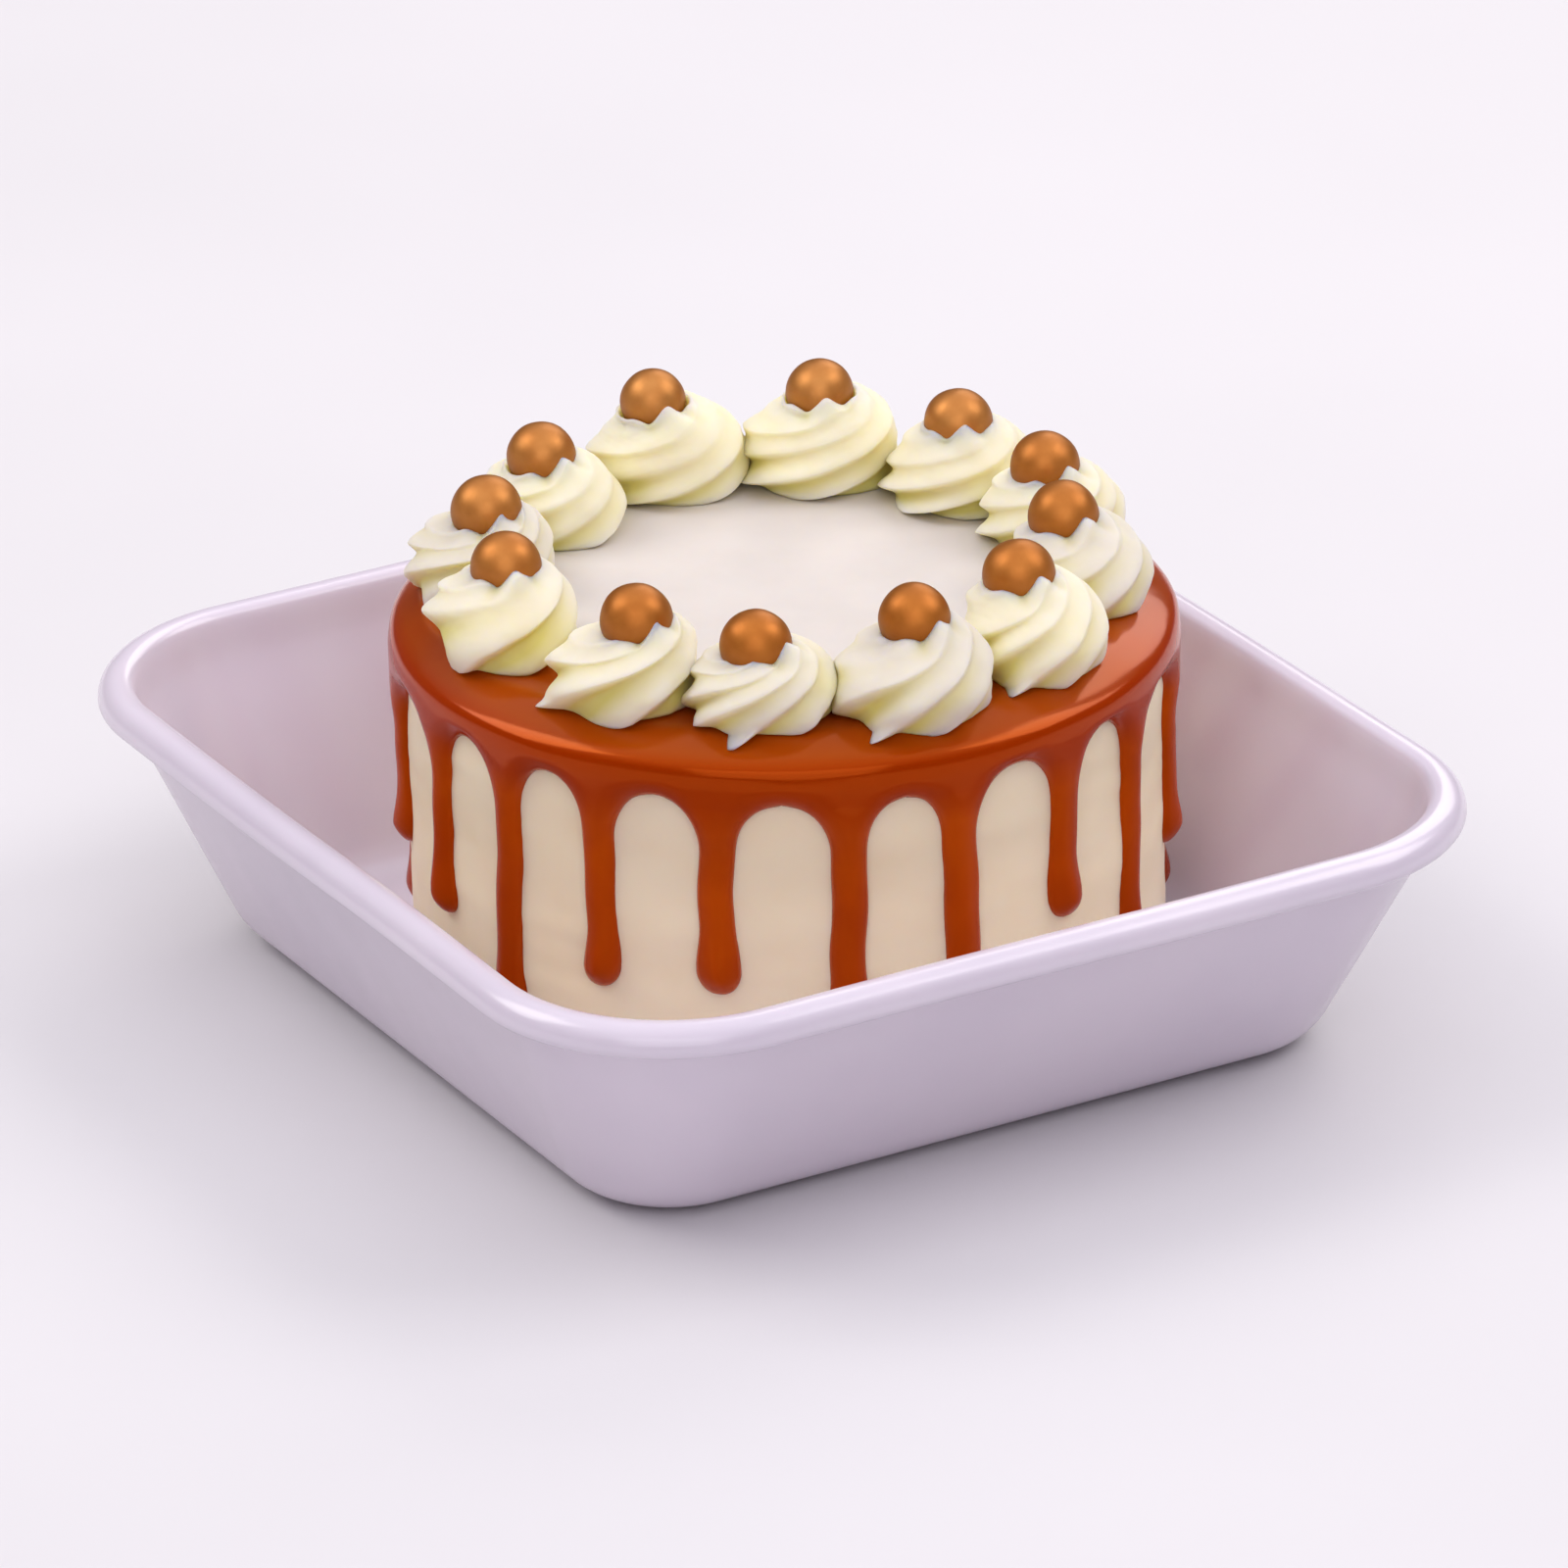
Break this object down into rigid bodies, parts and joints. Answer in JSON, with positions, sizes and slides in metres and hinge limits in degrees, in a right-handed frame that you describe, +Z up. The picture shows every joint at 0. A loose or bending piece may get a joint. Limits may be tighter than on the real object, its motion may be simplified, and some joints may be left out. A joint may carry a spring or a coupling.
{
  "type": "bento cake",
  "caption": "Small round cream cake with caramel drips, piped rosettes and a sugar pearl on each, standing in an open white bento box",
  "frame": {"origin": "On the underside of the box, at the centre of its outline", "axes": "+Z up; the long side of the box runs along X"},
  "size_m": [0.156, 0.1428, 0.0722],
  "materials": {
    "box": "smooth satin white",
    "cream": "smooth whipped cream",
    "caramel": "glossy caramel glaze",
    "rosette": "piped cream",
    "pearl": "pearlescent sugar"
  },
  "bodies": {
    "root": {"bento_box": "box", "cake_body": "cream", "caramel_drip": "caramel", "rosette_01": "rosette", "rosette_02": "rosette", "rosette_03": "rosette", "rosette_04": "rosette", "rosette_05": "rosette", "rosette_06": "rosette", "rosette_07": "rosette", "rosette_08": "rosette", "rosette_09": "rosette", "rosette_10": "rosette", "rosette_11": "rosette", "rosette_12": "rosette", "pearl_01": "pearl", "pearl_02": "pearl", "pearl_03": "pearl", "pearl_04": "pearl", "pearl_05": "pearl", "pearl_06": "pearl", "pearl_07": "pearl", "pearl_08": "pearl", "pearl_09": "pearl", "pearl_10": "pearl", "pearl_11": "pearl", "pearl_12": "pearl"}
  },
  "joints": []
}
